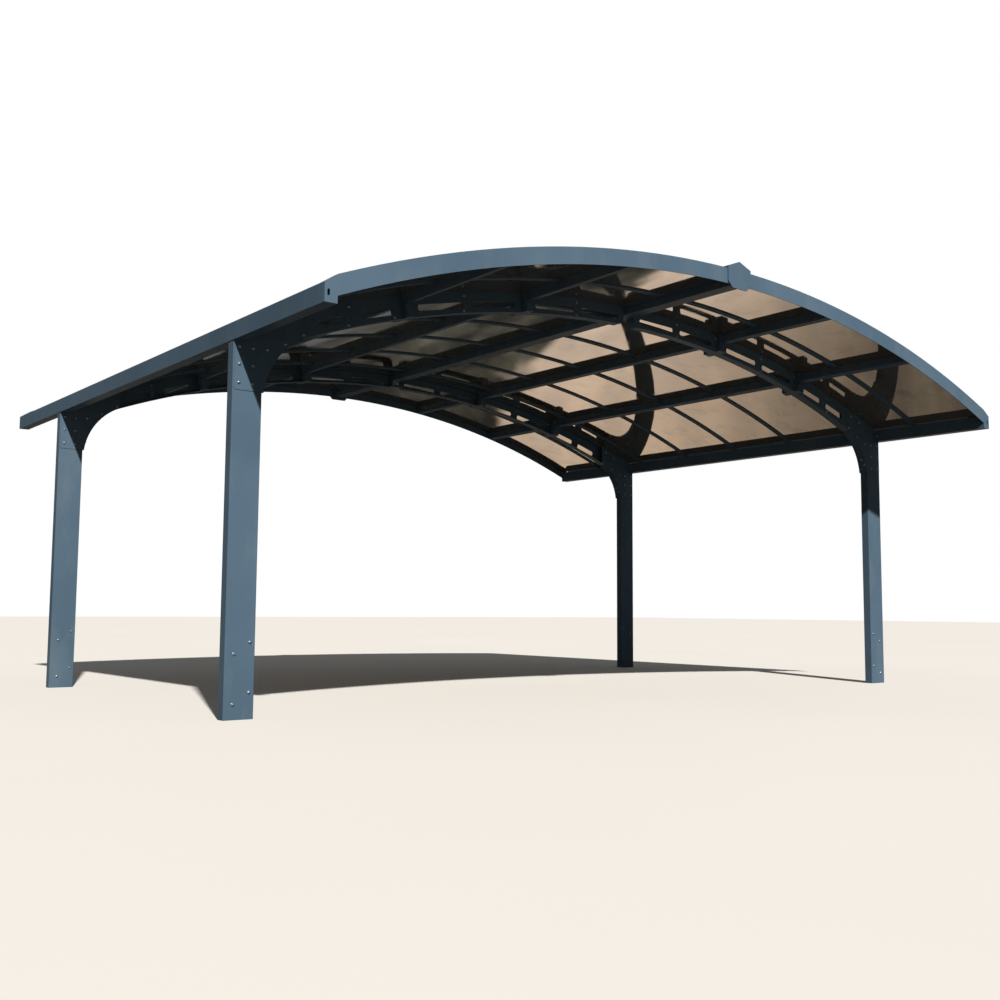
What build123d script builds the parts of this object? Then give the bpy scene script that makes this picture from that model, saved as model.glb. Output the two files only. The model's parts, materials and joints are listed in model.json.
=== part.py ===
# Free-standing carport with an arched roof, in millimetres.
#
# Four rectangular tube posts carry two portal frames. Each frame is a pair of slotted channel rafters
# that follow the roof arch, joined to the posts by plated knees. A ridge beam, two purlins on each side and
# two gutters run the length of the roof and carry curved panels, which are held between glazing bars
# and edged by a gable fascia at each end.
#
# X is the width, Y the length with the front at minus Y, and Z up. The origin is on the floor, at the
# centre of the footprint. Depths in the roof are measured square to the arch, down from its outer line.

import math
import os

from build123d import *

# Roof
ROOF_WIDTH = 5830.0
ROOF_LENGTH = 4950.0
CROWN_HEIGHT = 2696.0
ARCH_RADIUS = 7550.0

# Panels and glazing bars
PANEL_TOP_DEPTH = 27.0
PANEL_THICKNESS = 10.0
PANELS_PER_SIDE = 8
PANEL_OVER_GUTTER = 22.0
BAR_WIDTH = 45.0
BAR_OVER_PANEL = 6.0

# Ridge beam, purlins and fascia
MEMBER_DEPTH = 97.0
SHEET = 4.0
RIDGE_WIDTH = 100.0
RIDGE_SHELF = 25.0
RIDGE_COVER_WIDTH = 210.0
RIDGE_COVER_RISE = 40.0
RIDGE_COVER_EDGE = 14.0
RIDGE_CAP_THICKNESS = 8.0
RIDGE_CAP_DROP = 24.0
RIDGE_CAP_CHAMFER = 38.0
PURLIN_WIDTH = 50.0
PURLIN_WALL = 3.0
PURLIN_SHARES = (0.321, 0.638)
HANGER_WIDTH = 64.0
HANGER_LENGTH = 50.0
FASCIA_WIDTH = 45.0

# Gutters
GUTTER_WIDTH = 70.0
GUTTER_HEIGHT = 97.0
GUTTER_UNDER_ARCH = 105.6
GUTTER_WALL = 3.0
END_SLOT_WIDTH = 14.0
END_SLOT_HEIGHT = 32.0
END_SLOT_INSET = 22.0
END_SLOT_CHAMFER = 4.0

# Posts
POST_WIDTH = 170.0
POST_THICKNESS = 66.0
POST_WALL = 3.0
POST_CHAMFER = 3.0
POST_INSET = 3.0
FRAME_SPACING = 2930.0

# Rafters: their lower edge is a tighter arc than the roof, so they grow deeper towards the knees
RAFTER_CROWN_DEPTH = 160.0
RAFTER_LOWER_RADIUS = 6840.0
RAFTER_WEB = 6.0
RAFTER_FLANGE = 4.0
RAFTER_NOSE_RADIUS = 40.0
SLOT_TOP_SHARE = 0.50
SLOT_BOTTOM_SHARE = 0.78
SLOT_CHAMFER = 9.0
SLOT_TO_SHELF = 35.0
SLOT_TO_KNEE = 25.0
SLOT_NODE_HALF = 86.0
SLOT_WEB = 75.0

# Knees
KNEE_PLATE = 3.0
KNEE_RADIUS = 430.0
KNEE_SLEEVE = 265.0
KNEE_CHAMFER = 10.0
KNEE_LIP = 6.0
KNEE_REACH = 267.0
KNEE_FLANGE_INSET = 62.0

# Feet hidden in the posts
FOOT_WIDTH = 130.0
FOOT_HEIGHT = 450.0
FOOT_PLATE = 5.0
ANCHOR_HOLE = 11.0
ANCHOR_SPACING = 80.0

# Places worked out from the sizes above
HALF_WIDTH = ROOF_WIDTH / 2
HALF_LENGTH = ROOF_LENGTH / 2
FRAME_Y = FRAME_SPACING / 2
ARCH_CENTRE_Z = CROWN_HEIGHT - ARCH_RADIUS
RAFTER_CENTRE_Z = CROWN_HEIGHT - RAFTER_CROWN_DEPTH - RAFTER_LOWER_RADIUS
PANEL_UNDER_DEPTH = PANEL_TOP_DEPTH + PANEL_THICKNESS
POST_OUTER = HALF_WIDTH - POST_INSET
POST_INNER = POST_OUTER - POST_WIDTH
KNEE_INNER_END = POST_INNER - KNEE_REACH
FASCIA_BACK_Y = HALF_LENGTH - FASCIA_WIDTH
END_PLATE_BACK_Y = HALF_LENGTH - SHEET
FRAME_HALF = POST_THICKNESS / 2
PURLIN_PLACES = [share * HALF_WIDTH for share in PURLIN_SHARES]


def arch_height(x, depth):
    """Height of the arch at x, a given depth below the roof's outer line."""
    return ARCH_CENTRE_Z + math.sqrt((ARCH_RADIUS - depth) ** 2 - x**2)


SHELF_REACH = RIDGE_WIDTH / 2 + RIDGE_SHELF
SHELF_TOP = arch_height(SHELF_REACH, PANEL_UNDER_DEPTH)
GUTTER_INNER = HALF_WIDTH - GUTTER_WIDTH
GUTTER_BOTTOM = arch_height(HALF_WIDTH, GUTTER_UNDER_ARCH)
GUTTER_TOP = GUTTER_BOTTOM + GUTTER_HEIGHT
KNEE_BOTTOM = GUTTER_BOTTOM - KNEE_SLEEVE


def band(top, bottom, x_start, x_end):
    """Region of the arch between two depths, from x_start to x_end."""
    ring = Pos(0, ARCH_CENTRE_Z) * (Circle(ARCH_RADIUS - top) - Circle(ARCH_RADIUS - bottom))
    return ring & region(x_start, x_end, 0, 2 * CROWN_HEIGHT)


def region(x_start, x_end, z_start, z_end):
    """Rectangle between two places in x and two heights."""
    centre = Pos((x_start + x_end) / 2, (z_start + z_end) / 2)
    return centre * Rectangle(x_end - x_start, z_end - z_start)


def prism(sketch, y_start, y_end):
    """Solid from a sketch in x and z, run from y_start to y_end."""
    return extrude(Plane.XZ.offset(-y_end) * sketch, y_end - y_start)


def square_to_arch(x, depth):
    """Location at x, a given depth below the roof's outer line, turned to follow the arch."""
    lean = -math.degrees(math.asin(x / ARCH_RADIUS))
    return Pos(0, ARCH_CENTRE_Z) * Rot(0, 0, lean) * Pos(0, ARCH_RADIUS - depth)


def across_arch(x, width):
    """Strip of a given width that crosses the arch square to it at x."""
    return square_to_arch(x, 0) * Rectangle(width, ARCH_RADIUS / 2)


def post():
    """Front right post: a rectangular tube from the floor to the gutter."""
    outline = Rectangle(POST_WIDTH, POST_THICKNESS)
    outline = chamfer(outline.vertices(), POST_CHAMFER)
    inside = Rectangle(POST_WIDTH - 2 * POST_WALL, POST_THICKNESS - 2 * POST_WALL)
    tube = extrude(outline - inside, GUTTER_BOTTOM)
    return Pos((POST_OUTER + POST_INNER) / 2, -FRAME_Y, 0) * tube


def foot():
    """Front right foot: a folded channel inside the post with two anchor holes in its base."""
    depth = POST_THICKNESS - 2 * POST_WALL
    block = Box(FOOT_WIDTH, depth, FOOT_HEIGHT, align=(Align.CENTER, Align.CENTER, Align.MIN))
    gap = Box(FOOT_WIDTH, depth - 2 * FOOT_PLATE, FOOT_HEIGHT, align=(Align.CENTER, Align.CENTER, Align.MIN))
    holes = GridLocations(ANCHOR_SPACING, 0, 2, 1) * Cylinder(ANCHOR_HOLE / 2, 4 * FOOT_PLATE)
    channel = block - Pos(0, 0, FOOT_PLATE) * gap - holes
    return Pos((POST_OUTER + POST_INNER) / 2, -FRAME_Y, 0) * channel


def slot_spans():
    """Start and end of each slot along the rafter: two slots in each bay between the purlins."""
    starts = [SHELF_REACH + SLOT_TO_SHELF] + [place + SLOT_NODE_HALF for place in PURLIN_PLACES]
    ends = [place - SLOT_NODE_HALF for place in PURLIN_PLACES] + [KNEE_INNER_END - SLOT_TO_KNEE]
    spans = []
    for start, end in zip(starts, ends):
        length = (end - start - SLOT_WEB) / 2
        spans.append((start, start + length))
        spans.append((end - length, end))
    return spans


def under_rafters():
    """Everything below the arc of the rafters' lower edge."""
    return Pos(0, RAFTER_CENTRE_Z) * Circle(RAFTER_LOWER_RADIUS)


def rafter_band(x_start, x_end):
    """Region that a rafter fills between two places in x, from under the panels to its lower edge."""
    below_panels = Pos(0, ARCH_CENTRE_Z) * Circle(ARCH_RADIUS - PANEL_UNDER_DEPTH)
    return (below_panels & region(x_start, x_end, GUTTER_BOTTOM, 2 * CROWN_HEIGHT)) - under_rafters()


def rafter_bottom_depth(x):
    """Depth of the rafters' lower edge at x."""
    height = RAFTER_CENTRE_Z + math.sqrt(RAFTER_LOWER_RADIUS**2 - x**2)
    return ARCH_RADIUS - math.hypot(x, height - ARCH_CENTRE_Z)


def slot(start, end):
    """One slot of the rafter: a rectangle that follows the arch, with its corners cut."""
    x = (start + end) / 2
    web_depth = rafter_bottom_depth(x) - PANEL_UNDER_DEPTH
    middle_share = (SLOT_TOP_SHARE + SLOT_BOTTOM_SHARE) / 2
    outline = Rectangle(end - start, (SLOT_BOTTOM_SHARE - SLOT_TOP_SHARE) * web_depth)
    outline = chamfer(outline.vertices(), SLOT_CHAMFER)
    return square_to_arch(x, PANEL_UNDER_DEPTH + middle_share * web_depth) * outline


def rafter():
    """Right half of the front frame's arch: a channel with a slotted web in front and a flange all round."""
    start = RIDGE_WIDTH / 2
    outline = rafter_band(start, GUTTER_INNER)
    outline -= region(start, SHELF_REACH, SHELF_TOP - SHEET, CROWN_HEIGHT)
    nose = outline.vertices().sort_by(Axis.X)[:2].sort_by(Axis.Y)[0]
    outline = fillet(nose, RAFTER_NOSE_RADIUS)
    web = outline
    for slot_start, slot_end in slot_spans():
        web -= slot(slot_start, slot_end)
    flange = outline - offset(outline, -RAFTER_FLANGE)
    front = -FRAME_Y - FRAME_HALF
    return prism(web, front, front + RAFTER_WEB) + prism(flange, front, -FRAME_Y + FRAME_HALF)


def knee():
    """Front right knee: two plates over the post head and the rafter's end, joined by a curved flange."""
    curve_x = POST_INNER - KNEE_LIP - KNEE_RADIUS
    reach = RAFTER_LOWER_RADIUS - KNEE_RADIUS
    curve_z = RAFTER_CENTRE_Z + math.sqrt(reach**2 - curve_x**2)
    curve = Pos(curve_x, curve_z) * Circle(KNEE_RADIUS)
    rafter_part = rafter_band(KNEE_INNER_END, GUTTER_INNER)
    corner_part = region(KNEE_INNER_END, POST_INNER, GUTTER_BOTTOM, CROWN_HEIGHT) & under_rafters()
    corner_part += region(KNEE_INNER_END, POST_INNER, KNEE_BOTTOM, GUTTER_BOTTOM)
    corner_part -= curve
    post_part = region(POST_INNER - KNEE_LIP, POST_OUTER - KNEE_LIP, KNEE_BOTTOM, GUTTER_BOTTOM)
    outline = rafter_part + corner_part + post_part
    outer_corner = outline.vertices().sort_by(Axis.X)[-2:].sort_by(Axis.Y)[0]
    outline = chamfer(outer_corner, KNEE_CHAMFER)
    front = -FRAME_Y - FRAME_HALF
    rear = -FRAME_Y + FRAME_HALF
    plates = prism(outline, front - KNEE_PLATE, front) + prism(outline, rear, rear + KNEE_PLATE)
    flange_start = curve_x * RAFTER_LOWER_RADIUS / reach + KNEE_FLANGE_INSET
    flange = (Pos(curve_x, curve_z) * Circle(KNEE_RADIUS + KNEE_PLATE)) - curve
    flange &= region(flange_start, POST_INNER, KNEE_BOTTOM, GUTTER_TOP)
    return plates + prism(flange, front, rear)


def ridge_beam():
    """Ridge beam: a box with a shelf for the panels on each side and a pitched cover on top."""
    bottom = CROWN_HEIGHT - MEMBER_DEPTH
    cover = ridge_cover(RIDGE_COVER_WIDTH)
    hollow = Pos(0, -SHEET) * ridge_cover(RIDGE_COVER_WIDTH - 2 * SHEET)
    half = RIDGE_WIDTH / 2
    box = region(-half, half, bottom, CROWN_HEIGHT + SHEET)
    box += cover & region(-half, half, bottom, 2 * CROWN_HEIGHT)
    box_hollow = region(SHEET - half, half - SHEET, bottom + SHEET, CROWN_HEIGHT + SHEET)
    box_hollow += hollow & region(SHEET - half, half - SHEET, bottom, 2 * CROWN_HEIGHT)
    shelves = region(-SHELF_REACH, -half, SHELF_TOP - SHEET, SHELF_TOP)
    shelves += region(half, SHELF_REACH, SHELF_TOP - SHEET, SHELF_TOP)
    beam = prism(box - box_hollow + shelves, -END_PLATE_BACK_Y, END_PLATE_BACK_Y)
    return beam + prism(cover - hollow, -HALF_LENGTH, HALF_LENGTH)


def ridge_cover(width):
    """Outline of the pitched cover on top of the ridge, closed along its lower edge."""
    edge_bottom = CROWN_HEIGHT + SHEET
    shoulder = CROWN_HEIGHT + RIDGE_COVER_EDGE
    apex = shoulder + RIDGE_COVER_RISE
    return make_face(
        Polyline(
            (-width / 2, edge_bottom),
            (width / 2, edge_bottom),
            (width / 2, shoulder),
            (0, apex),
            (-width / 2, shoulder),
            close=True,
        )
    )


def ridge_cap():
    """Front end cap of the ridge: a plate that covers the joint of the two fascia halves."""
    half = RIDGE_COVER_WIDTH / 2
    shoulder = CROWN_HEIGHT + RIDGE_COVER_EDGE
    bottom = CROWN_HEIGHT - MEMBER_DEPTH - RIDGE_CAP_DROP
    outline = make_face(
        Polyline(
            (0, shoulder + RIDGE_COVER_RISE),
            (half, shoulder),
            (half, bottom + RIDGE_CAP_CHAMFER),
            (half - RIDGE_CAP_CHAMFER, bottom),
            (RIDGE_CAP_CHAMFER - half, bottom),
            (-half, bottom + RIDGE_CAP_CHAMFER),
            (-half, shoulder),
            close=True,
        )
    )
    return prism(outline, -HALF_LENGTH - RIDGE_CAP_THICKNESS, -HALF_LENGTH)


def purlin(place):
    """Right purlin at one place: three box lengths between the fascias and the two frames."""
    outline = band(PANEL_UNDER_DEPTH, MEMBER_DEPTH, place - PURLIN_WIDTH, place + PURLIN_WIDTH)
    outline &= across_arch(place, PURLIN_WIDTH)
    inside = band(
        PANEL_UNDER_DEPTH + PURLIN_WALL,
        MEMBER_DEPTH - PURLIN_WALL,
        place - PURLIN_WIDTH,
        place + PURLIN_WIDTH,
    )
    inside &= across_arch(place, PURLIN_WIDTH - 2 * PURLIN_WALL)
    hanger = rafter_band(place - HANGER_WIDTH, place + HANGER_WIDTH) & across_arch(place, HANGER_WIDTH)
    face = FRAME_Y + FRAME_HALF
    back = FRAME_Y - FRAME_HALF
    overhang = prism(outline - inside, -END_PLATE_BACK_Y, -face)
    overhang += prism(hanger, -face - HANGER_LENGTH, -face)
    middle = prism(outline - inside, -back, back)
    middle += prism(hanger, -back, -back + HANGER_LENGTH)
    middle += prism(hanger, back - HANGER_LENGTH, back)
    return Compound([overhang, middle, mirror(overhang, Plane.XZ)])


def gutter():
    """Right gutter: an open channel with its inner wall under the panels' lower edge."""
    inner_top = arch_height(GUTTER_INNER + GUTTER_WALL, PANEL_UNDER_DEPTH)
    outline = region(GUTTER_INNER, HALF_WIDTH, GUTTER_BOTTOM, GUTTER_TOP)
    outline -= region(GUTTER_INNER + GUTTER_WALL, HALF_WIDTH - GUTTER_WALL, GUTTER_BOTTOM + GUTTER_WALL, GUTTER_TOP)
    outline -= region(GUTTER_INNER, GUTTER_INNER + GUTTER_WALL, inner_top, GUTTER_TOP)
    return prism(outline, -FASCIA_BACK_Y, FASCIA_BACK_Y)


def fascia():
    """Right half of the front gable fascia: a curved angle with a squared, hollow end over the gutter."""
    front = -HALF_LENGTH
    back = -FASCIA_BACK_Y
    shoulder = arch_height(GUTTER_INNER, 0)
    face = band(0, MEMBER_DEPTH, 0, GUTTER_INNER)
    end = make_face(
        Polyline(
            (GUTTER_INNER, GUTTER_BOTTOM),
            (HALF_WIDTH, GUTTER_BOTTOM),
            (HALF_WIDTH, GUTTER_TOP),
            (GUTTER_INNER, shoulder),
            close=True,
        )
    )
    opening = Rectangle(END_SLOT_WIDTH, END_SLOT_HEIGHT)
    opening = chamfer(opening.vertices(), END_SLOT_CHAMFER)
    opening = Pos(HALF_WIDTH - END_SLOT_INSET, GUTTER_BOTTOM + GUTTER_HEIGHT / 2) * opening
    shape = prism(face + end - opening, front, -END_PLATE_BACK_Y)
    shape += prism(band(0, SHEET, RIDGE_WIDTH / 2, GUTTER_INNER), front, back)
    wrap = end - offset(end, -SHEET)
    wrap -= band(PANEL_TOP_DEPTH, PANEL_UNDER_DEPTH, GUTTER_INNER, HALF_WIDTH)
    return shape + prism(wrap, front, back)


def panel_edges():
    """Start and end in y of each roof panel, with a glazing bar between neighbours."""
    first = -END_PLATE_BACK_Y
    width = (2 * -first - (PANELS_PER_SIDE - 1) * BAR_WIDTH) / PANELS_PER_SIDE
    return [(first + i * (width + BAR_WIDTH), first + i * (width + BAR_WIDTH) + width) for i in range(PANELS_PER_SIDE)]


def panel(edges):
    """Right roof panel between two places in y."""
    sheet = band(PANEL_TOP_DEPTH, PANEL_UNDER_DEPTH, RIDGE_WIDTH / 2 + SHEET, GUTTER_INNER + PANEL_OVER_GUTTER)
    return prism(sheet, *edges)


def glazing_bars():
    """Right glazing bars: flat bars between the panels, standing a little above them."""
    outline = band(
        PANEL_TOP_DEPTH - BAR_OVER_PANEL,
        PANEL_UNDER_DEPTH,
        RIDGE_WIDTH / 2 + SHEET,
        GUTTER_INNER + PANEL_OVER_GUTTER,
    )
    bars = []
    for left, right in zip(panel_edges(), panel_edges()[1:]):
        bars.append(prism(outline, left[1], right[0]))
    return Compound(bars)


def save(shape, name):
    """Write one sub-part to its own file."""
    export_step(shape, f"parts/{name}.step")


def save_sides(shape, name):
    """Write a right-hand piece and its mirror image on the left."""
    save(shape, name.format(side="right"))
    save(mirror(shape, Plane.YZ), name.format(side="left"))


def save_corners(shape, name):
    """Write a front right piece and its mirror images at the other three corners."""
    save_sides(shape, name.format(end="front", side="{side}"))
    save_sides(mirror(shape, Plane.XZ), name.format(end="rear", side="{side}"))


os.makedirs("parts", exist_ok=True)

save_corners(post(), "post_{end}_{side}")
save_corners(rafter(), "rafter_{end}_{side}")
save_corners(knee(), "knee_{end}_{side}")
save_corners(fascia(), "fascia_{end}_{side}")

front_right_foot = foot()
front_feet = [front_right_foot, mirror(front_right_foot, Plane.YZ)]
rear_feet = [mirror(piece, Plane.XZ) for piece in front_feet]
save(Compound(front_feet + rear_feet), "post_feet")

save(ridge_beam(), "ridge_beam")
save(ridge_cap(), "ridge_cap_front")
save(mirror(ridge_cap(), Plane.XZ), "ridge_cap_rear")

for place, level in zip(PURLIN_PLACES, ("upper", "lower")):
    save_sides(purlin(place), "purlin_{side}_" + level)

save_sides(gutter(), "gutter_{side}")
save_sides(glazing_bars(), "glazing_bars_{side}")
for number, edges in enumerate(panel_edges(), start=1):
    save_sides(panel(edges), "panel_{side}_" + str(number))
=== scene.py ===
# %% [markdown]
# # A carport with an arched roof
#
# The real thing is a free-standing shelter of powder-coated aluminium. Four rectangular posts carry two
# slotted arches, and glossy bronze sheets span between the ridge and the gutters. The structure comes
# in as a fixed frame that already has every member at full size. This lesson dresses it: it gives
# each member a finish, adds the bolts that hold it together, and lights it as a studio would.
#
# Everything is in metres, with the width along X, the length along Y with the front at minus Y, and Z up.

# %% Load the frame
import json
import math

import bpy
import numpy as np
from mathutils import Matrix, Vector


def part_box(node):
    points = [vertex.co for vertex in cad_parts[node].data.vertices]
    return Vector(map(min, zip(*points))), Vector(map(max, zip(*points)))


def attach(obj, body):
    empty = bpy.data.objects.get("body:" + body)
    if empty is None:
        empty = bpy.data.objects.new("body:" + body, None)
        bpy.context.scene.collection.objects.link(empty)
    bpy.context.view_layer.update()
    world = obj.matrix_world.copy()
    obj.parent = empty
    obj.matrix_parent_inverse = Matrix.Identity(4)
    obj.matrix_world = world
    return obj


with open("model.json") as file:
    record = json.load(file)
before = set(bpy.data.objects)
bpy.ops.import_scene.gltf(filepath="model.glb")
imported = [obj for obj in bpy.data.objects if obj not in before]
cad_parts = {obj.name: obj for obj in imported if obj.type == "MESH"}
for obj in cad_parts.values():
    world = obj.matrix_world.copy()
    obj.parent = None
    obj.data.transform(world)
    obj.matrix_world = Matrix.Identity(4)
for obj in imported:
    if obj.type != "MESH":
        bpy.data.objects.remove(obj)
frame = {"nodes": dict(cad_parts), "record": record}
scene = bpy.context.scene
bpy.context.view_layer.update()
print("members in the frame:", len(frame["nodes"]))

# %% [markdown]
# ## The camera
#
# The photograph was taken from the front left, at about the height of a person's hip. The camera could be
# turned by hand until it looks right, but here its place, its three turns and its lens were worked out
# from the corners of the posts and the roof. Three turns make three directions, and the three directions
# are the columns of the camera's own matrix.

# %% Camera at the photograph's view
CAMERA_PLACE = Vector((-5.4618, -7.0828, 0.5811))
CAMERA_YAW = math.radians(37.889)
CAMERA_PITCH = math.radians(5.441)
CAMERA_ROLL = math.radians(0.388)
CAMERA_LENS = 41.28
SENSOR_WIDTH = 36.0


def camera_directions(yaw, pitch, roll):
    """Right, up and forward: yaw turns from plus Y towards plus X, pitch looks up, roll leans."""
    forward = Vector((math.sin(yaw) * math.cos(pitch), math.cos(yaw) * math.cos(pitch), math.sin(pitch)))
    level_right = Vector((math.cos(yaw), -math.sin(yaw), 0))
    level_up = level_right.cross(forward)
    right = math.cos(roll) * level_right + math.sin(roll) * level_up
    up = math.cos(roll) * level_up - math.sin(roll) * level_right
    return right, up, forward


camera_data = bpy.data.cameras.new("photo_camera")
camera_data.lens = CAMERA_LENS
camera_data.sensor_width = SENSOR_WIDTH
camera = bpy.data.objects.new("photo_camera", camera_data)
right, up, forward = camera_directions(CAMERA_YAW, CAMERA_PITCH, CAMERA_ROLL)
camera.matrix_world = Matrix.Translation(CAMERA_PLACE) @ Matrix((right, up, -forward)).transposed().to_4x4()
scene.collection.objects.link(camera)
scene.camera = camera
print("camera at", tuple(CAMERA_PLACE), "with a lens of", CAMERA_LENS, "mm")

# %% [markdown]
# ## Floor and light
#
# A carport stands on paving in the sun. A studio keeps that simple: one wide pale floor, an even pale
# surround, and one main light. The main light is a sun lamp, because a structure five metres wide needs
# parallel rays, and it is wide enough in angle to soften the shadows. Its direction follows the shadow
# that the gutter throws on the posts in the photograph. A white surround would flood the roof's underside
# with soft light, which the photograph doesn't have. So the surround is white where the camera sees it,
# and the light it sends out is a dim, cool grey.

# %% Floor and light
FLOOR_HALF = 60.0
SUN_DIRECTION = Vector((0.26, 0.70, -0.567))
SUN_STRENGTH = 6.0
SUN_WIDTH = math.radians(1.4)
SURROUND_COLOUR = (1.0, 1.0, 1.0, 1)
SOFT_COLOUR = (0.150, 0.160, 0.168, 1)
FLOOR_COLOUR = (0.74, 0.69, 0.62, 1)


def link(name, mesh):
    """New object at the origin that shows a mesh."""
    piece = bpy.data.objects.new(name, mesh)
    scene.collection.objects.link(piece)
    return piece


floor_corners = [(-FLOOR_HALF, -FLOOR_HALF, 0), (FLOOR_HALF, -FLOOR_HALF, 0), (FLOOR_HALF, FLOOR_HALF, 0)]
floor_corners.append((-FLOOR_HALF, FLOOR_HALF, 0))
floor_mesh = bpy.data.meshes.new("studio_floor")
floor_mesh.from_pydata(floor_corners, [], [(0, 1, 2, 3)])
studio_floor = link("studio_floor", floor_mesh)

sun_data = bpy.data.lights.new("main_light", "SUN")
sun_data.energy = SUN_STRENGTH
sun_data.angle = SUN_WIDTH
sun = link("main_light", sun_data)
sun.rotation_euler = SUN_DIRECTION.to_track_quat("-Z", "Y").to_euler()

surround = bpy.data.worlds.new("surround")
scene.world = surround
surround.use_nodes = True
nodes = surround.node_tree.nodes
camera_ray = nodes.new("ShaderNodeLightPath").outputs["Is Camera Ray"]
choose = nodes.new("ShaderNodeMix")
choose.data_type = "RGBA"
choose.inputs[6].default_value = SOFT_COLOUR
choose.inputs[7].default_value = SURROUND_COLOUR
surround.node_tree.links.new(camera_ray, choose.inputs[0])
surround.node_tree.links.new(choose.outputs[2], nodes["Background"].inputs["Color"])
scene.view_settings.view_transform = "Standard"
print("floor", 2 * FLOOR_HALF, "m wide, one sun lamp and an even surround")

# %% [markdown]
# ## Helpers for finishes
#
# Every finish is a small network of nodes around one shader. A few short helpers keep the networks
# readable. One starts a material and its shader, and one adds a node, sets its values and joins its inputs
# in one call. The others each make a node that comes up again and again: noise, a blend, a stretch of
# values, a sum and a bump.

# %% Helpers for finishes
def add_node(material, kind, settings=None, **inputs):
    """Adds a node. settings are its own options, and inputs are values, or sockets to join. In an input's
    label _ stands for a space, and i before a number picks the input by its number."""
    tree = material.node_tree
    node = tree.nodes.new(kind)
    for option, value in (settings or {}).items():
        setattr(node, option, value)
    for label, value in inputs.items():
        by_number = label[0] == "i" and label[1:].isdigit()
        socket = node.inputs[int(label[1:]) if by_number else label.replace("_", " ")]
        if isinstance(value, bpy.types.NodeSocket):
            tree.links.new(value, socket)
        else:
            socket.default_value = value
    return node


def new_finish(name, **constants):
    """Material with one shader, whose constant values are set on its own sockets."""
    material = bpy.data.materials.new(name)
    material.use_nodes = True
    shader = material.node_tree.nodes["Principled BSDF"]
    for label, value in constants.items():
        shader.inputs[label.replace("_", " ")].default_value = value
    return material, shader


def join(material, output, shader, label):
    """Joins an output socket to one of the shader's inputs."""
    material.node_tree.links.new(output, shader.inputs[label])


def blend_colours(material, factor, first, second):
    """Colour that goes from the first to the second as the factor goes from 0 to 1."""
    mix = add_node(material, "ShaderNodeMix", {"data_type": "RGBA"}, i0=factor, i6=first, i7=second)
    return mix.outputs[2]


def spread(material, value, low, high, to_low=0.0, to_high=1.0):
    """Value stretched from one range to another and held inside it."""
    node = add_node(
        material,
        "ShaderNodeMapRange",
        {"clamp": True},
        Value=value,
        From_Min=low,
        From_Max=high,
        To_Min=to_low,
        To_Max=to_high,
    )
    return node.outputs[0]


def own_place(material):
    """The surface's own coordinates, in metres."""
    return add_node(material, "ShaderNodeTexCoord").outputs["Object"]


def noise(material, place, scale, detail, roughness=0.5, distortion=0.0):
    """Soft random pattern from 0 to 1."""
    node = add_node(
        material,
        "ShaderNodeTexNoise",
        None,
        Vector=place,
        Scale=scale,
        Detail=detail,
        Roughness=roughness,
        Distortion=distortion,
    )
    return node.outputs[0]


def calculate(material, operation, first, second=0.0):
    """Result of one operation on two values. SINE looks at the first alone."""
    return add_node(material, "ShaderNodeMath", {"operation": operation}, i0=first, i1=second).outputs[0]


def bump(material, height, strength, distance, normal=None):
    """Normal that tilts where the height rises and falls, on top of another normal if one is given."""
    node = add_node(material, "ShaderNodeBump", None, Strength=strength, Distance=distance, Height=height)
    if normal is not None:
        material.node_tree.links.new(normal, node.inputs["Normal"])
    return node.outputs[0]


print("helpers ready")

# %% [markdown]
# ## The floor's finish
# The strip and the band behind it are a painted reflection: painted sunlight and a painted dark band, which
# the floor shows to mirrored rays alone.
#
# A studio floor is plain, but not perfectly flat in tone. Slow noise makes it wander a little between
# two close colours, which keeps it from looking like empty paper. A pale floor also throws light up under
# the roof, more than dark paving does outdoors. A photographer would lay black cloth out of view to stop
# it. Here the floor does it itself: it sends back less soft light than it shows.
#
# The glossy roof sheets mirror the ground, and that is most of what is seen of them. Followed back from the
# photograph, their bright parts all mirror one strip of sunny ground beside the right-hand posts, and
# everything from about seven metres back is dark, as a hedge would be. So mirrored rays see that strip:
# its brightness rises along Y, stays level, and falls off at the hedge. Noise makes the edge of the hedge
# wander, and breaks the ground into patches and the hedge into leaves. The leaves' noise runs over the
# logarithm of the distance, so that its patches grow with distance and don't blur into one grey.
#
# Here and below, a noise is written as its scale, its detail and, where it isn't the usual, its roughness
# and distortion.

# %% Floor finish
FLOOR_SHADE = (0.70, 0.65, 0.585, 1)
FLOOR_BOUNCE = (0.060, 0.054, 0.046, 1)
FLOOR_ROUGHNESS = 0.85
FLOOR_PATCHES = (0.35, 3.0)
# The MIRROR colours are a painted reflection: a strip of painted sunlit ground and a dark band behind it.
MIRROR_SUNNY = (0.98, 0.80, 0.64, 1)
MIRROR_PATCHY = (0.76, 0.64, 0.53, 1)
MIRROR_HEDGE = (0.008, 0.009, 0.006, 1)
MIRROR_LEAVES = (0.200, 0.200, 0.150, 1)
STRIP_RISE = (0.0, 3.4)
STRIP_START_SHARE = 0.17
HEDGE_RISE = (6.6, 7.1)
HEDGE_WANDER = 1.3
GROUND_PATCHES = (1.1, 5.0)
LEAVES = (4.0, 9.0, 0.68)
WANDER_RANGE = (0.3, 0.7)
PATCH_RANGE = (0.42, 0.62)
LEAF_RANGE = (0.46, 0.74)

floor_finish, floor_shader = new_finish("studio_floor", Roughness=FLOOR_ROUGHNESS)
place = own_place(floor_finish)
patches = noise(floor_finish, place, *FLOOR_PATCHES)
tone = blend_colours(floor_finish, patches, FLOOR_COLOUR, FLOOR_SHADE)

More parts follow.
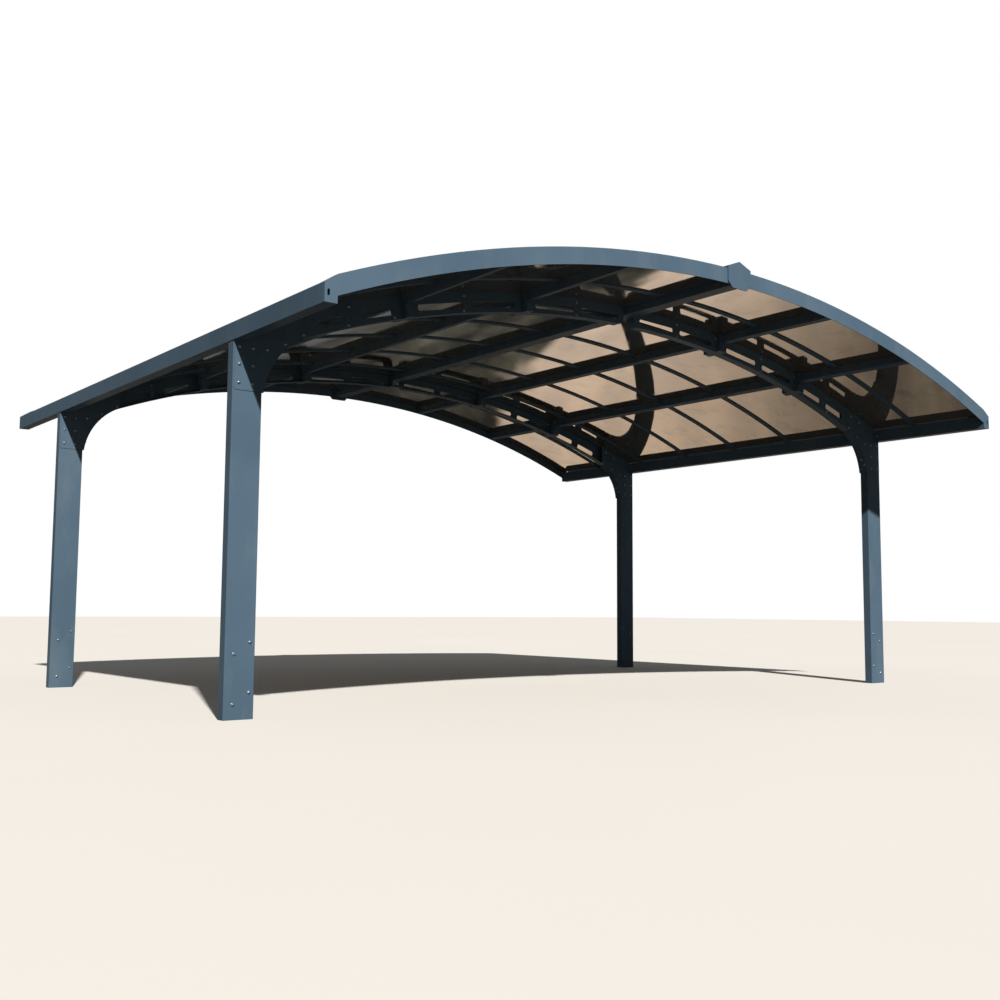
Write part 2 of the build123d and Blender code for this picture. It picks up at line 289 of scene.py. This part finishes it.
along = add_node(floor_finish, "ShaderNodeSeparateXYZ", None, Vector=place).outputs["Y"]
ground = noise(floor_finish, place, *GROUND_PATCHES)
wandering = spread(floor_finish, ground, *WANDER_RANGE, -HEDGE_WANDER / 2, HEDGE_WANDER / 2)
edge = calculate(floor_finish, "ADD", along, wandering)
sunny = spread(floor_finish, along, *STRIP_RISE, STRIP_START_SHARE, 1.0)
before_hedge = spread(floor_finish, edge, *HEDGE_RISE, 1.0, 0.0)
strip = calculate(floor_finish, "MULTIPLY", sunny, before_hedge)
patchy = spread(floor_finish, ground, *PATCH_RANGE)
painted_sunlit_ground = blend_colours(floor_finish, patchy, MIRROR_PATCHY, MIRROR_SUNNY)

far = add_node(floor_finish, "ShaderNodeVectorMath", {"operation": "LENGTH"}, i0=place).outputs["Value"]
logarithm = calculate(floor_finish, "LOGARITHM", far, math.e)
share = calculate(floor_finish, "DIVIDE", logarithm, far)
shrunk = add_node(floor_finish, "ShaderNodeVectorMath", {"operation": "SCALE"}, i0=place, Scale=share)
leaves = noise(floor_finish, shrunk.outputs[0], *LEAVES)
leafy = spread(floor_finish, leaves, *LEAF_RANGE)
hedge = blend_colours(floor_finish, leafy, MIRROR_HEDGE, MIRROR_LEAVES)

# Painted reflection: mirrored rays alone see the strip of painted sunlight and the dark band.
painted_reflection = blend_colours(floor_finish, strip, hedge, painted_sunlit_ground)
rays = add_node(floor_finish, "ShaderNodeLightPath")
tone = blend_colours(floor_finish, rays.outputs["Is Glossy Ray"], tone, painted_reflection)
tone = blend_colours(floor_finish, rays.outputs["Is Diffuse Ray"], tone, FLOOR_BOUNCE)
join(floor_finish, tone, floor_shader, "Base Color")
studio_floor.data.materials.append(floor_finish)
print("floor finish ready")

# %% [markdown]
# ## Powder coat
#
# The members are blue-grey powder coat. The powder melts into a skin with a faint orange peel, a
# ripple two or three millimetres across, so the finish is satin and never a clean mirror. Outdoors a
# thin film of dust dulls it in soft patches, and rain draws it downwards. The ripple is a bump from fine
# noise, and the dust is slow noise, stretched along Z, that lightens the colour and roughens the skin.

# %% Powder coat
COAT_COLOUR = (0.076, 0.117, 0.155, 1)
COAT_DEEP = (0.063, 0.099, 0.132, 1)
COAT_DUSTY = (0.120, 0.150, 0.175, 1)
COAT_SHEEN = 0.04
COAT_ROUGHNESS = (0.40, 0.70)
COAT_TONES = (1.7, 4.0)
TONE_RANGE = (0.35, 0.65)
DUST_STREAKS = (3.1, 7.0, 0.62)
DUST_STRETCH = (2.2, 2.2, 0.7)
DUST_RANGE = (0.48, 0.78)
FRAME_DUST = 0.55
TRIM_DUST = 0.40
PEEL = (380.0, 2.0)
PEEL_STRENGTH = 0.35
PEEL_HEIGHT = 0.0004


def powder_coat(name, dust_amount):
    """Satin coat: slow noise picks between two close blues, streaky noise adds dust, and fine noise lifts
    the skin."""
    material, shader = new_finish(name, Specular_IOR_Level=COAT_SHEEN)
    place = own_place(material)
    slow = noise(material, place, *COAT_TONES)
    skin = blend_colours(material, spread(material, slow, *TONE_RANGE), COAT_DEEP, COAT_COLOUR)
    stretched = add_node(material, "ShaderNodeMapping", None, Vector=place, Scale=DUST_STRETCH)
    streaks = noise(material, stretched.outputs[0], *DUST_STREAKS)
    dust = spread(material, streaks, *DUST_RANGE, 0.0, dust_amount)
    join(material, blend_colours(material, dust, skin, COAT_DUSTY), shader, "Base Color")
    join(material, spread(material, dust, 0.0, 1.0, *COAT_ROUGHNESS), shader, "Roughness")
    peel = noise(material, place, *PEEL)
    join(material, bump(material, peel, PEEL_STRENGTH, PEEL_HEIGHT), shader, "Normal")
    return material


frame_coat = powder_coat("frame_coat", FRAME_DUST)
trim_coat = powder_coat("trim_coat", TRIM_DUST)
print("powder coats ready")

# %% [markdown]
# ## Bronze roof sheet
#
# The roof sheets are smoked bronze plastic with a surface like a dark mirror: from below they show the
# ground and the underside of the arches. A real sheet is never quite flat, so its reflections wander.
# The finish is a part-metallic shader with a bronze colour, a slow bump for the wander and a very fine
# bump in lines along the arch for the channels inside the sheet. A little dust lies on it in patches, and
# finer noise leaves darker smudges, as rain and hands do.

# %% Bronze roof sheet
BRONZE = (0.400, 0.328, 0.255, 1)
BRONZE_DUSTY = (0.450, 0.385, 0.320, 1)
BRONZE_SMUDGED = (0.300, 0.255, 0.205, 1)
SHEET_METALLIC = 0.82
SHEET_IOR = 1.58
SHEET_SHEEN = 0.6
SHEET_ROUGHNESS = (0.035, 0.15)
DUST_PATCHES = (2.4, 6.0, 0.6)
DUST_PATCH_RANGE = (0.52, 0.80)
SMUDGES = (5.5, 9.0, 0.72, 0.6)
SMUDGE_RANGE = (0.50, 0.66)
WANDER = (0.9, 2.0)
WANDER_STRENGTH = 0.5
WANDER_HEIGHT = 0.004
CHANNEL_PITCH = 0.011
CHANNEL_STRENGTH = 0.10
CHANNEL_HEIGHT = 0.00005

bronze_sheet, bronze_shader = new_finish(
    "bronze_sheet", Metallic=SHEET_METALLIC, IOR=SHEET_IOR, Specular_IOR_Level=SHEET_SHEEN
)
place = own_place(bronze_sheet)
dust = spread(bronze_sheet, noise(bronze_sheet, place, *DUST_PATCHES), *DUST_PATCH_RANGE)
smudges = spread(bronze_sheet, noise(bronze_sheet, place, *SMUDGES), *SMUDGE_RANGE)
clean_tone = blend_colours(bronze_sheet, smudges, BRONZE, BRONZE_SMUDGED)
join(bronze_sheet, blend_colours(bronze_sheet, dust, clean_tone, BRONZE_DUSTY), bronze_shader, "Base Color")
join(bronze_sheet, spread(bronze_sheet, dust, 0.0, 1.0, *SHEET_ROUGHNESS), bronze_shader, "Roughness")

across = add_node(bronze_sheet, "ShaderNodeSeparateXYZ", None, Vector=place).outputs["Y"]
turns = calculate(bronze_sheet, "MULTIPLY", across, 2 * math.pi / CHANNEL_PITCH)
channels = calculate(bronze_sheet, "SINE", turns)
slow_bump = bump(bronze_sheet, noise(bronze_sheet, place, *WANDER), WANDER_STRENGTH, WANDER_HEIGHT)
fine_bump = bump(bronze_sheet, channels, CHANNEL_STRENGTH, CHANNEL_HEIGHT, slow_bump)
join(bronze_sheet, fine_bump, bronze_shader, "Normal")
print("bronze sheet ready")

# %% [markdown]
# ## Galvanised feet
#
# Inside each post stands a folded foot of galvanised steel. Zinc crystals give it a patchwork of pale
# and darker greys, which a cell pattern imitates.

# %% Galvanised feet
ZINC_PALE = (0.60, 0.61, 0.62, 1)
ZINC_DARK = (0.42, 0.43, 0.45, 1)
ZINC_METALLIC = 0.9
ZINC_ROUGHNESS = (0.30, 0.48)
CRYSTAL_SCALE = 70.0

galvanised, zinc_shader = new_finish("galvanised", Metallic=ZINC_METALLIC)
place = own_place(galvanised)
crystals = add_node(galvanised, "ShaderNodeTexVoronoi", None, Vector=place, Scale=CRYSTAL_SCALE)
grey = add_node(galvanised, "ShaderNodeSeparateColor", None, Color=crystals.outputs["Color"]).outputs[0]
join(galvanised, blend_colours(galvanised, grey, ZINC_DARK, ZINC_PALE), zinc_shader, "Base Color")
join(galvanised, spread(galvanised, grey, 0.0, 1.0, *ZINC_ROUGHNESS), zinc_shader, "Roughness")
print("galvanised finish ready")

# %% [markdown]
# ## Finishes on the members
#
# Each member in the frame already names its material, so the finishes are handed out by that name.

# %% Finishes on the members
FINISHES = {"frame": frame_coat, "trim": trim_coat, "feet": galvanised, "panel": bronze_sheet}

for part in frame["record"]["subparts"]:
    member = frame["nodes"][part["node"]]
    member.data.materials.clear()
    member.data.materials.append(FINISHES[part["material_slot"]])

# %% [markdown]
# ## Bolts
#
# Dome-headed bolts hold the frame together, each on a washer. They are painted in the frame's colour, and
# a part-metallic gloss makes them glint. Fine random specks of a lighter colour are a painted glint on top.
# A bolt could be a cut cylinder, but its outline is really a profile turned about an axis, so each one is
# a surface of revolution: rings of points whose radius and height come from the profile. All the bolts of
# one kind are one mesh, worked out as one array.

# %% Shape of a bolt head
BOLT_COLOUR = (0.085, 0.130, 0.170, 1)
# Lighter colour of the specks on the heads, a painted glint.
BOLT_PAINTED_GLINT = (0.26, 0.33, 0.38, 1)
BOLT_METALLIC = 0.50
BOLT_ROUGHNESS = 0.24
GLINT_SPECKS = (160.0, 3.0)
GLINT_RANGE = (0.42, 0.62)
BOLT_SIDES = 14
WASHER_RADIUS = 0.0105
WASHER_THICKNESS = 0.0016
HEAD_RADIUS = 0.0082
HEAD_HEIGHT = 0.0052
DOME_TURNS = (0, 25, 50, 72)
SEAT_DEPTH = 0.0003


bolt_coat, bolt_shader = new_finish("bolt_coat", Metallic=BOLT_METALLIC, Roughness=BOLT_ROUGHNESS)
# Fine random specks of the lighter colour: a painted glint on the bolt heads.
painted_glint = spread(bolt_coat, noise(bolt_coat, own_place(bolt_coat), *GLINT_SPECKS), *GLINT_RANGE)
join(bolt_coat, blend_colours(bolt_coat, painted_glint, BOLT_COLOUR, BOLT_PAINTED_GLINT), bolt_shader, "Base Color")


def bolt_profile():
    """Radius and height of each ring, from the plate up over the washer and the dome of the head."""
    turn = np.radians(DOME_TURNS)
    dome_radius = HEAD_RADIUS * np.cos(turn)
    dome_height = WASHER_THICKNESS + HEAD_HEIGHT * np.sin(turn)
    radius = np.concatenate([[WASHER_RADIUS, WASHER_RADIUS], dome_radius])
    height = np.concatenate([[-SEAT_DEPTH, WASHER_THICKNESS], dome_height])
    return radius, height


def bolts(name, places, faces):
    """One mesh of bolts. A ring's points are place + radius (cos a side + sin a top) + height face, and a
    centre point closes each end. places are on the plates, and faces are the directions they look in.
    side is level and square to face, and top is square to both."""
    places = np.asarray(places, float)
    faces = np.asarray(faces, float)
    radius, height = bolt_profile()
    rings = len(radius)
    angle = np.linspace(0, 2 * np.pi, BOLT_SIDES, endpoint=False)
    side = np.cross([0.0, 0.0, 1.0], faces)
    side /= np.linalg.norm(side, axis=1, keepdims=True)
    top = np.cross(faces, side)
    around = np.cos(angle)[:, None] * side[:, None, :] + np.sin(angle)[:, None] * top[:, None, :]
    ring_points = (
        places[:, None, None, :]
        + radius[:, None, None] * around[:, None, :, :]
        + height[:, None, None] * faces[:, None, None, :]
    )
    end_heights = np.array([height[0], WASHER_THICKNESS + HEAD_HEIGHT])
    ends = places[:, None, :] + end_heights[:, None] * faces[:, None, :]
    points = np.concatenate([ring_points.reshape(len(places), -1, 3), ends], axis=1)

    here = np.arange(BOLT_SIDES)
    after = (here + 1) % BOLT_SIDES
    lower = np.arange(rings - 1)[:, None] * BOLT_SIDES
    upper = lower + BOLT_SIDES
    walls = np.stack([lower + here, lower + after, upper + after, upper + here], axis=-1)
    last = (rings - 1) * BOLT_SIDES
    base_centre = rings * BOLT_SIDES
    bottom_fan = np.stack([after, here, np.full(BOLT_SIDES, base_centre)], axis=-1)
    top_fan = np.stack([last + here, last + after, np.full(BOLT_SIDES, base_centre + 1)], axis=-1)
    shift = np.arange(len(places))[:, None, None] * points.shape[1]
    quads = (walls.reshape(1, -1, 4) + shift).reshape(-1, 4).tolist()
    fans = (np.concatenate([bottom_fan, top_fan])[None] + shift).reshape(-1, 3).tolist()

    mesh = bpy.data.meshes.new(name)
    mesh.from_pydata(points.reshape(-1, 3).tolist(), [], quads + fans)
    mesh.polygons.foreach_set("use_smooth", np.ones(len(mesh.polygons), bool))
    mesh.materials.append(bolt_coat)
    piece = link(name, mesh)
    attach(piece, "root")
    print(name, "has", len(places), "bolts")
    return piece


# %% [markdown]
# ## Where the bolts go
#
# The two frames are alike, and each is the same on its left and right and on its front and back faces. So
# a bolt is placed once, as its distance out from the middle and its height on one face, and copied to
# eight places by changing signs.

# %% Copies on both frames
post_low, post_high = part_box("post_front_right")
rear_low, rear_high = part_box("post_rear_right")
POST_INNER_X = post_low[0]
POST_OUTER_X = post_high[0]
KNEE_PLATE = 0.003
FRAME_FACES = ((post_low[1], -1), (post_high[1], 1), (rear_low[1], -1), (rear_high[1], 1))


def on_frames(spots, proud, plates=FRAME_FACES):
    """Places and directions of the spots (distance out, height) on each plate of both frames, left and
    right. A plate is its place in Y and the way it faces, and proud is how far the bolt's seat stands out."""
    places = []
    faces = []
    for out, height in spots:
        for face_y, way in plates:
            for side in (-1, 1):
                places.append((side * out, face_y + way * proud, height))
                faces.append((0, way, 0))
    return places, faces


print("posts stand from", round(POST_INNER_X, 3), "to", round(POST_OUTER_X, 3), "m out")

# %% [markdown]
# ## Bolts in the posts' feet
#
# Low on each post four bolts go through into the hidden foot. They zigzag: the outer column starts lower
# than the inner one.

# %% Foot bolts
FOOT_INNER_INSET = 0.029
FOOT_OUTER_INSET = 0.052
FOOT_OUTER_HEIGHTS = (0.080, 0.340)
FOOT_INNER_HEIGHTS = (0.140, 0.400)

foot_spots = [(POST_OUTER_X - FOOT_OUTER_INSET, height) for height in FOOT_OUTER_HEIGHTS]
foot_spots += [(POST_INNER_X + FOOT_INNER_INSET, height) for height in FOOT_INNER_HEIGHTS]
foot_bolts = bolts("foot_bolts", *on_frames(foot_spots, 0))

# %% [markdown]
# ## Bolts in the knees
#
# Two columns of three clamp the knee's sleeve to the post, and a group of five ties its body to the end
# of the rafter. They stand on the knee's own plates, a few millimetres proud of the post.

# %% Knee bolts
SLEEVE_INNER_INSET = 0.056
SLEEVE_OUTER_INSET = 0.034
SLEEVE_HEIGHTS = (1.965, 1.870, 1.770)
KNEE_BODY_SPOTS = [(2.535, 2.180), (2.645, 2.137), (2.500, 2.084), (2.610, 2.016), (2.717, 1.970)]

sleeve_columns = (POST_INNER_X + SLEEVE_INNER_INSET, POST_OUTER_X - SLEEVE_OUTER_INSET)
knee_spots = [(column, height) for column in sleeve_columns for height in SLEEVE_HEIGHTS]
knee_bolts = bolts("knee_bolts", *on_frames(knee_spots + KNEE_BODY_SPOTS, KNEE_PLATE))

# %% [markdown]
# ## Bolts that show from inside
#
# A slanting pair goes through each knee's curved flange into the side of the post. The flange is part of a
# cylinder that touches the rafter's lower circle, so the distance between their axes is one radius less the
# other, which gives the height of the cylinder's axis. Each bolt looks towards that axis. One more on each
# side of a frame holds the gutter, and looks straight across the width.

# %% Bolts that show from inside
KNEE_RADIUS = 0.430
KNEE_LIP = 0.006
KNEE_AXIS_OUT = POST_INNER_X - KNEE_LIP - KNEE_RADIUS
FLANGE_HEIGHTS = np.array([1.837, 1.794])
FLANGE_OFFSETS = np.array([-0.004, -0.019])
GUTTER_BOLT_HEIGHT = 2.045
GUTTER_BOLT_OFFSETS = (-0.058, 0.058)

RAFTER_LOWER_RADIUS = 6.840
RAFTER_CROWN_DEPTH = 0.160
CROWN_HEIGHT = 2.696
rafter_axis_height = CROWN_HEIGHT - RAFTER_CROWN_DEPTH - RAFTER_LOWER_RADIUS
between_axes = RAFTER_LOWER_RADIUS - KNEE_RADIUS
knee_axis_height = rafter_axis_height + math.sqrt(between_axes**2 - KNEE_AXIS_OUT**2)
flange_out = KNEE_AXIS_OUT + np.sqrt(KNEE_RADIUS**2 - (FLANGE_HEIGHTS - knee_axis_height) ** 2)
frame_middles = ((post_low[1] + post_high[1]) / 2, (rear_low[1] + rear_high[1]) / 2)
gutter_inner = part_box("gutter_right")[0][0]

inner_places = []
inner_faces = []
for middle in frame_middles:
    for side in (-1, 1):
        for out, height, offset in zip(flange_out, FLANGE_HEIGHTS, FLANGE_OFFSETS):
            inwards = (KNEE_AXIS_OUT - out) / KNEE_RADIUS
            upwards = (knee_axis_height - height) / KNEE_RADIUS
            inner_places.append((side * out, middle + offset, height))
            inner_faces.append((side * inwards, 0, upwards))
        for offset in GUTTER_BOLT_OFFSETS:
            inner_places.append((side * gutter_inner, middle + offset, GUTTER_BOLT_HEIGHT))
            inner_faces.append((-side, 0, 0))
inner_bolts = bolts("inner_bolts", inner_places, inner_faces)

# %% [markdown]
# ## Bolts in the rafters
#
# Above and below the slots a pair of bolts marks each place where something is fixed to the web: the
# middle of each bay and both sides of the lower purlins. Their heights follow the arch. The rafter's top
# edge is the roof's own circle and its lower edge a tighter one, so each bolt sits at a share of the way
# from one circle to the other. The web is the outer face of each frame, and the bolts show on both of its
# sides: heads outside, and the same dome nuts inside the channel. Outside, the purlins' hangers cover the
# web at the lower row's places 0.890 and 1.805. The eight heads there lie mostly inside the hangers and
# hardly show. That is a fault, since in the photograph the ones on the right do show.

# %% Rafter bolts
ARCH_RADIUS = 7.550
PANEL_UNDER_DEPTH = 0.037
RAFTER_WEB = 0.006
UPPER_SHARE = 0.21
LOWER_SHARE = 0.89
PAIR_PLACES = (0.480, 0.890, 1.405, 1.805, 2.215)
SINGLE_PLACE = 1.905


def circle_height(out, radius, crown):
    """Height on a circle whose top is at the crown: crown - radius + square root of (radius^2 - out^2)."""
    return crown - radius + np.sqrt(radius**2 - np.square(out))


def on_web(out, share):
    """Height on the rafter's web, a share of the way from its top edge to its lower edge."""
    top = circle_height(out, ARCH_RADIUS - PANEL_UNDER_DEPTH, CROWN_HEIGHT - PANEL_UNDER_DEPTH)
    bottom = circle_height(out, RAFTER_LOWER_RADIUS, CROWN_HEIGHT - RAFTER_CROWN_DEPTH)
    return float(top + share * (bottom - top))


front_web, rear_web = post_low[1], rear_high[1]
WEB_FACES = ((front_web, -1), (front_web + RAFTER_WEB, 1), (rear_web - RAFTER_WEB, -1), (rear_web, 1))
rafter_spots = [(out, on_web(out, UPPER_SHARE)) for out in PAIR_PLACES]
rafter_spots += [(out, on_web(out, LOWER_SHARE)) for out in PAIR_PLACES + (SINGLE_PLACE,)]
rafter_bolts = bolts("rafter_bolts", *on_frames(rafter_spots, 0, WEB_FACES))

# %% [markdown]
# ## Trim under the glazing bars
#
# Seen from below, each glazing bar has a clip-on trim that covers the edges of the two sheets it joins.
# The trim is a flat strip with rounded shoulders and a groove along its middle, and it stops at each
# purlin. It is a profile carried along the arch, so its points are a grid: one direction goes round the
# profile and the other goes along the circle.

# %% Trim under the glazing bars
TRIM_WIDTH = 0.046
TRIM_DEPTH = 0.009
TRIM_GROOVE = 0.003
TRIM_ACROSS = (-1.0, -1.0, -0.86, -0.30, -0.16, 0.16, 0.30, 0.86, 1.0, 1.0)
TRIM_DOWN = (0.0, 0.55, 1.0, 1.0, 1.0, 1.0, 1.0, 1.0, 0.55, 0.0)
GROOVE_POINTS = slice(4, 6)
TRIM_STEP = 0.08
PURLIN_HALF = 0.025
SHELF_REACH = 0.075
PURLIN_PLACES = (0.9357, 1.8598)
SHEETS_PER_SIDE = 8


def trim_profile():
    """Places across the strip and depths below the sheets, round one closed outline with a groove below."""
    across = np.array(TRIM_ACROSS) * TRIM_WIDTH / 2
    depth = np.array(TRIM_DOWN) * TRIM_DEPTH
    depth[GROOVE_POINTS] -= TRIM_GROOVE
    return across, depth


def trims(name, middles, spans):
    """One mesh of strips: place = (radius x sine of turn, middle + across, centre + radius x cosine of turn),
    where radius is the sheets' underside less the depth. middles are along Y, and spans along X."""
    across, depth = trim_profile()
    count = len(across)
    points = []
    faces = []
    start_index = 0
    for start, end in spans:
        steps = max(int(abs(end - start) / TRIM_STEP), 1) + 1
        under = ARCH_RADIUS - PANEL_UNDER_DEPTH
        turn = np.linspace(math.asin(start / under), math.asin(end / under), steps)
        radius = under - depth
        strip_x = np.sin(turn)[:, None] * radius
        strip_z = CROWN_HEIGHT - ARCH_RADIUS + np.cos(turn)[:, None] * radius
        for middle in middles:
            strip_y = np.broadcast_to(middle + across, strip_x.shape)
            points.append(np.stack([strip_x, strip_y, strip_z], axis=-1).reshape(-1, 3))
            here = np.arange(count)
            after = (here + 1) % count
            row = np.arange(steps - 1)[:, None] * count + start_index
            next_row = row + count
            walls = np.stack([row + here, next_row + here, next_row + after, row + after], axis=-1)
            faces += walls.reshape(-1, 4).tolist()
            faces.append((start_index + here).tolist())
            faces.append((start_index + (steps - 1) * count + here[::-1]).tolist())
            start_index += steps * count
    mesh = bpy.data.meshes.new(name)
    mesh.from_pydata(np.concatenate(points).tolist(), [], faces)
    mesh.materials.append(frame_coat)
    piece = link(name, mesh)
    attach(piece, "root")
    print(name, "has", len(middles) * len(spans), "strips")
    return piece


stops = [SHELF_REACH]
for place in PURLIN_PLACES:
    stops += [place - PURLIN_HALF, place + PURLIN_HALF]
stops.append(gutter_inner)
right_spans = list(zip(stops[0::2], stops[1::2]))
left_spans = [(-end, -start) for start, end in right_spans]
sheet_low, sheet_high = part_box("panel_right_1")
next_low, next_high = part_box("panel_right_2")
first_middle = (sheet_high[1] + next_low[1]) / 2
trim_middles = first_middle + np.arange(SHEETS_PER_SIDE - 1) * (next_low[1] - sheet_low[1])
glazing_trims = trims("glazing_trims", trim_middles, right_spans + left_spans)

# %% [markdown]
# ## Closers at the corners of the roof
#
# At each corner the gable fascia ends in a hollow box, and the edge of the last roof sheet slides into it
# through a slot. On the real object the box's outer wall is whole. In the frame's solids the slot runs on
# through that wall, which is a fault in them. The better mend is to end the slot at the sheet's edge in the
# solids. Here a short strip inside the wall fills it instead. A strip is a plain block, so its eight
# corners are a middle plus or minus half its size, and the four blocks come from the signs of X and Y.

# %% Closers at the corners of the roof
FASCIA_WALL = 0.004
FASCIA_DEPTH = 0.045
PANEL_TOP_DEPTH = 0.027
CLOSER_LAP = 0.0015
CLOSER_INSET = 0.0002
BLOCK_FACES = np.array([(0, 1, 3, 2), (4, 6, 7, 5), (0, 4, 5, 1), (2, 3, 7, 6), (0, 2, 6, 4), (1, 5, 7, 3)])


def blocks(name, low, high, signs, finish):
    """One mesh of blocks: corner = sign x middle of low and high + half size x (-1 or 1 along each axis)."""
    low = np.array(low)
    high = np.array(high)
    corners = np.indices((2, 2, 2)).reshape(3, -1).T * 2 - 1
    middles = np.array(signs) * (low + high) / 2
    points = middles[:, None, :] + corners * (high - low) / 2
    shift = np.arange(len(signs))[:, None, None] * len(corners)
    mesh = bpy.data.meshes.new(name)
    mesh.from_pydata(points.reshape(-1, 3).tolist(), [], (BLOCK_FACES + shift).reshape(-1, 4).tolist())
    mesh.materials.append(finish)
    piece = link(name, mesh)
    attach(piece, "root")
    print(name, "has", len(signs), "blocks")
    return piece


roof_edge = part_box("gutter_right")[1][0]
fascia_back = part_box("gutter_right")[1][1]
inside_wall = roof_edge - FASCIA_WALL
slot_under = circle_height(roof_edge, ARCH_RADIUS - PANEL_UNDER_DEPTH, CROWN_HEIGHT - PANEL_UNDER_DEPTH)
slot_top = circle_height(inside_wall, ARCH_RADIUS - PANEL_TOP_DEPTH, CROWN_HEIGHT - PANEL_TOP_DEPTH)
closer_low = (inside_wall + CLOSER_INSET, fascia_back + CLOSER_INSET, slot_under - CLOSER_LAP)
closer_high = (roof_edge - CLOSER_INSET, fascia_back + FASCIA_DEPTH - FASCIA_WALL / 2, slot_top + CLOSER_LAP)
corner_signs = [(x, y, 1) for x in (-1, 1) for y in (-1, 1)]
corner_closers = blocks("corner_closers", closer_low, closer_high, corner_signs, trim_coat)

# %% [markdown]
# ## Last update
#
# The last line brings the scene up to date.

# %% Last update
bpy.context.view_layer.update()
